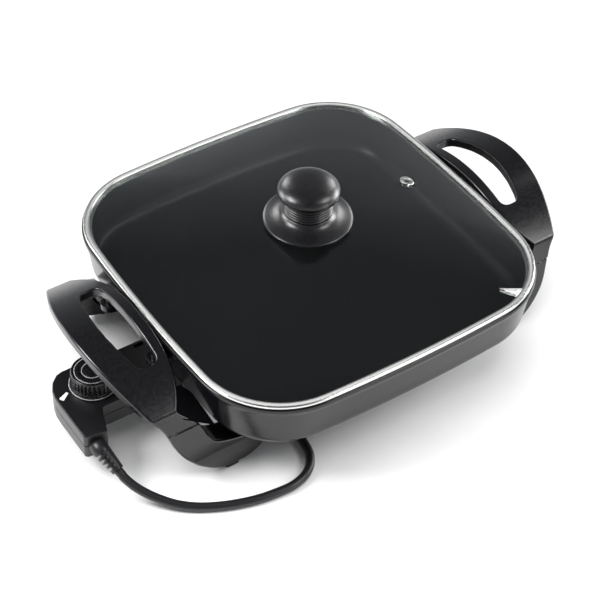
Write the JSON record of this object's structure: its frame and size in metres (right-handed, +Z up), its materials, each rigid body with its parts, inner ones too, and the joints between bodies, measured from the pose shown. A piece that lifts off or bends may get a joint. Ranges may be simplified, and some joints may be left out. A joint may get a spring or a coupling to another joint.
{
  "type": "electric skillet",
  "caption": "Square electric skillet with a lift-off glass lid, moulded handles that form its feet, and a plug-in dial control with a mains cord.",
  "frame": {"origin": "on the table, under the middle of the skillet and its plugged-in control", "axes": "+Z up; X runs through the two handles and the control plugs in on the -X side; the cord leaves towards -Y"},
  "size_m": [0.4334, 0.3635, 0.1496],
  "materials": {
    "pan_enamel": "glossy black enamel outside, dark non-stick coating inside",
    "handle_phenolic": "semi-gloss moulded black phenolic",
    "knob_phenolic": "satin moulded black phenolic",
    "guard_phenolic": "matt moulded heat-resistant resin",
    "rim_steel": "bright rolled stainless steel strip",
    "lid_glass": "clear tempered glass",
    "element_steel": "heat-darkened steel sheath",
    "pin_steel": "nickel-plated steel",
    "zinc_steel": "zinc-plated steel",
    "ceramic": "unglazed steatite ceramic",
    "sleeve_aluminium": "cast aluminium",
    "probe_steel": "drawn stainless tube",
    "casing_abs": "glossy moulded black plastic",
    "dial_abs": "satin moulded black plastic",
    "spindle_steel": "turned steel",
    "lens_white": "translucent white plastic",
    "lamp_glass": "neon indicator lamp",
    "contact_brass": "pressed brass",
    "frame_steel": "yellow passivated steel",
    "bimetal": "rolled bimetal strip",
    "clamp_nylon": "natural nylon",
    "cord_rubber": "black rubber cord sheath",
    "plug_pvc": "moulded black PVC",
    "lead_insulation": "silicone lead insulation",
    "seal_rubber": "dark silicone rubber",
    "tie_nylon": "black nylon tie"
  },
  "bodies": {
    "skillet": {"pan_body": "pan_enamel", "heating_element": "element_steel", "pin_insulators": "ceramic", "terminal_pins": "pin_steel", "element_clips": "zinc_steel", "clip_screws": "zinc_steel", "probe_sleeve": "sleeve_aluminium", "terminal_guard": "guard_phenolic", "guard_screws": "zinc_steel", "handle_left": "handle_phenolic", "handle_right": "handle_phenolic", "handle_screws": "zinc_steel", "foot_screws": "zinc_steel", "foot_pads": "seal_rubber", "power_cord": "cord_rubber", "cord_coil": "cord_rubber", "cord_tail": "cord_rubber", "cord_tie": "tie_nylon", "plug_body": "plug_pvc", "plug_pins": "contact_brass"},
    "lid": {"lid_glass": "lid_glass", "lid_rim": "rim_steel", "vent_eyelet": "rim_steel", "knob_seal": "seal_rubber", "knob_shield": "knob_phenolic", "lid_knob": "knob_phenolic", "knob_washer": "zinc_steel", "knob_screw": "zinc_steel"},
    "control": {"control_cover": "casing_abs", "control_base": "casing_abs", "casing_screws": "zinc_steel", "index_lens": "lens_white", "pilot_lamp": "lamp_glass", "terminal_block": "guard_phenolic", "socket_sleeves": "contact_brass", "probe_tube": "probe_steel", "thermostat_frame": "frame_steel", "contact_arm": "contact_brass", "bimetal_blade": "bimetal", "insulator_stack": "ceramic", "stack_rivet": "zinc_steel", "cord_clamp": "clamp_nylon", "cord_end": "cord_rubber", "inner_leads": "lead_insulation", "strain_relief": "cord_rubber"},
    "dial": {"control_dial": "dial_abs", "dial_spindle": "spindle_steel"}
  },
  "joints": [
    {"name": "lid_lift", "type": "slide", "parent": "skillet", "child": "lid", "axis": [0, 0, 1], "range_m": [0, 0.15]},
    {"name": "control_pull", "type": "slide", "parent": "skillet", "child": "control", "axis": [-1, 0, 0], "range_m": [0, 0.08]},
    {"name": "dial_turn", "type": "hinge", "parent": "control", "child": "dial", "pos_m": [-0.18525, -0.005, 0.05], "axis": [0, 0, 1], "range_deg": [0, 270]}
  ]
}
